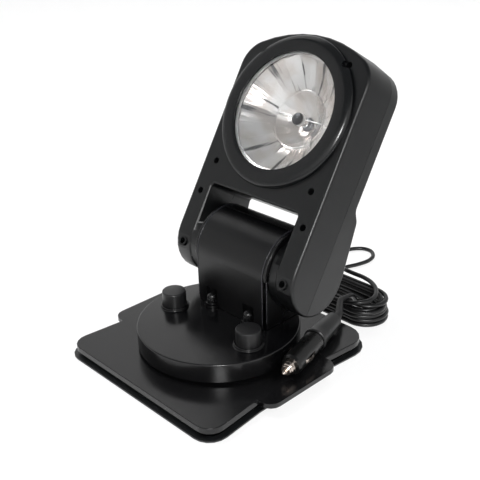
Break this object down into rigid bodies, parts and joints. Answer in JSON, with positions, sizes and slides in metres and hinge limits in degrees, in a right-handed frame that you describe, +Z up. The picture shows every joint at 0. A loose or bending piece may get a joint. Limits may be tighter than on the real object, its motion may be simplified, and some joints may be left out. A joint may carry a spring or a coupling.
{
  "type": "remote control searchlight",
  "caption": "Square-faced lamp head on a motor-driven neck and turntable, on a flat magnetic base with a folded power cord and lighter plug.",
  "frame": {"origin": "on the floor under the turntable's centre, on the underside of the base pad", "axes": "+Z up, -Y toward the lamp's beam at rest, X along the tilt axle"},
  "size_m": [0.2336, 0.3947, 0.293],
  "materials": {
    "black_abs": "satin moulded black",
    "black_rubber": "matt black",
    "zinc_steel": "zinc plated",
    "bright_nickel": "bright nickel plated",
    "ferrite": "pressed ferrite",
    "clear_glass": "clear",
    "mirror_silver": "vacuum metallised",
    "white_nylon": "natural moulded nylon",
    "board_green": "solder mask",
    "bronze": "sintered bronze"
  },
  "bodies": {
    "base": {"base_pad": "black_rubber", "base_tray": "zinc_steel", "base_cover": "black_abs", "base_magnet": "ferrite", "base_screw_front_left": "zinc_steel", "base_screw_rear_left": "zinc_steel", "base_screw_front_right": "zinc_steel", "base_screw_rear_right": "zinc_steel", "pan_gear": "white_nylon", "pan_bearing": "white_nylon", "cord_gland": "black_rubber", "power_cord": "black_rubber", "power_cord_coil": "black_rubber", "power_cord_tail": "black_rubber", "plug_barrel": "black_abs", "plug_nut": "bright_nickel", "plug_fuse": "clear_glass", "plug_grip": "black_abs", "plug_relief": "black_rubber"},
    "turntable": {"drum_cover": "black_abs", "drum_floor": "black_abs", "head_rest_left": "black_rubber", "head_rest_right": "black_rubber", "pan_motor": "zinc_steel", "receiver_board": "board_green", "neck_front_cover": "black_abs", "neck_rear_cover": "black_abs", "neck_cheek_left": "black_abs", "neck_cheek_right": "black_abs", "tilt_bush_left": "bronze", "tilt_bush_right": "bronze", "tilt_motor": "zinc_steel", "neck_screw_front_left": "zinc_steel", "neck_screw_rear_left": "zinc_steel", "neck_screw_front_right": "zinc_steel", "neck_screw_rear_right": "zinc_steel"},
    "head": {"head_front_shell": "black_abs", "head_rear_shell": "black_abs", "bezel_ring": "black_abs", "lens_glass": "clear_glass", "lens_gasket": "black_rubber", "reflector": "mirror_silver", "bulb_base": "zinc_steel", "bulb_glass": "clear_glass", "bulb_shield": "zinc_steel", "tilt_axle": "zinc_steel", "tilt_gear": "white_nylon", "head_screw_top_left": "zinc_steel", "head_screw_top_right": "zinc_steel", "head_screw_upper_left": "zinc_steel", "head_screw_upper_right": "zinc_steel", "head_screw_lower_left": "zinc_steel", "head_screw_lower_right": "zinc_steel", "head_screw_bottom_left": "zinc_steel", "head_screw_bottom_right": "zinc_steel"},
    "pan_pinion_body": {"pan_pinion": "white_nylon"},
    "tilt_pinion_body": {"tilt_pinion": "white_nylon"},
    "pin_body": {"plug_pin": "bright_nickel"},
    "contact_left_body": {"plug_contact_left": "bright_nickel"},
    "contact_right_body": {"plug_contact_right": "bright_nickel"}
  },
  "joints": [
    {"name": "pan", "type": "hinge", "parent": "base", "child": "turntable", "pos_m": [0, 0, 0.025], "axis": [0, 0, 1], "range_deg": [-180, 180]},
    {"name": "tilt", "type": "hinge", "parent": "turntable", "child": "head", "pos_m": [0, 0.056, 0.0867], "axis": [1, 0, 0], "range_deg": [-16.2, 117.9]},
    {"name": "pan_pinion_spin", "type": "hinge", "parent": "turntable", "child": "pan_pinion_body", "pos_m": [-0.012, 0.04181, 0.02], "axis": [0, 0, 1], "range_deg": [-870, 870]},
    {"name": "tilt_pinion_spin", "type": "hinge", "parent": "turntable", "child": "tilt_pinion_body", "pos_m": [0, 0.04, 0.05957], "axis": [1, 0, 0], "range_deg": [-385, 60]},
    {"name": "plug_pin_slide", "type": "slide", "parent": "base", "child": "pin_body", "axis": [-0.2537, 0.9672, 0.014], "range_m": [0, 0.003], "stiffness_N_per_m": 300},
    {"name": "contact_left_slide", "type": "slide", "parent": "base", "child": "contact_left_body", "axis": [0.9673, 0.2538, 0], "range_m": [0, 0.0012], "stiffness_N_per_m": 800},
    {"name": "contact_right_slide", "type": "slide", "parent": "base", "child": "contact_right_body", "axis": [-0.9673, -0.2538, 0], "range_m": [0, 0.0012], "stiffness_N_per_m": 800}
  ],
  "couplings": [
    {"joint": "pan_pinion_spin", "follows": "pan", "ratio": 4.8},
    {"joint": "tilt_pinion_spin", "follows": "tilt", "ratio": -3.2}
  ]
}
